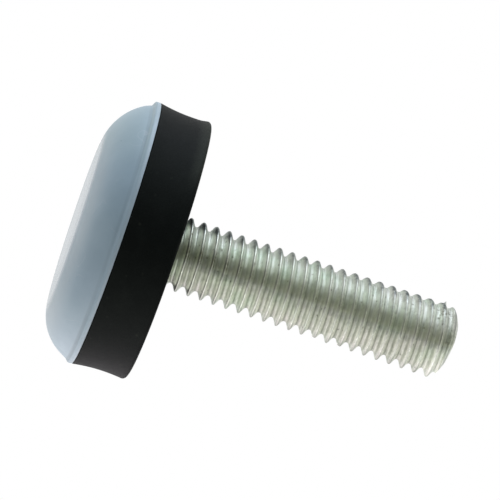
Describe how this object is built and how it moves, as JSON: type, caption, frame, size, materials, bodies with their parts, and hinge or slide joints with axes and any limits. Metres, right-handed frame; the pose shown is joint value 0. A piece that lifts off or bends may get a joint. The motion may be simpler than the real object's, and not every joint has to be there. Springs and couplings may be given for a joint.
{
  "type": "threaded furniture glide",
  "caption": "Round furniture glide: a slippery domed pad under a rubber cushion, carried on a threaded steel stud that screws into a leg.",
  "frame": {"origin": "centre of the sliding face, on the floor that the glide stands on", "axes": "+Z along the stud, from the sliding face to the stud's tip; X and Y lie in the sliding face"},
  "size_m": [0.029, 0.029, 0.0421],
  "materials": {
    "slide_pad": "satin blue-grey fluoropolymer",
    "rubber_cushion": "matt black moulded rubber",
    "threaded_stud": "satin zinc-plated steel with a rolled thread"
  },
  "bodies": {
    "root": {"slide_pad": "slide_pad", "rubber_cushion": "rubber_cushion", "threaded_stud": "threaded_stud"}
  },
  "joints": []
}
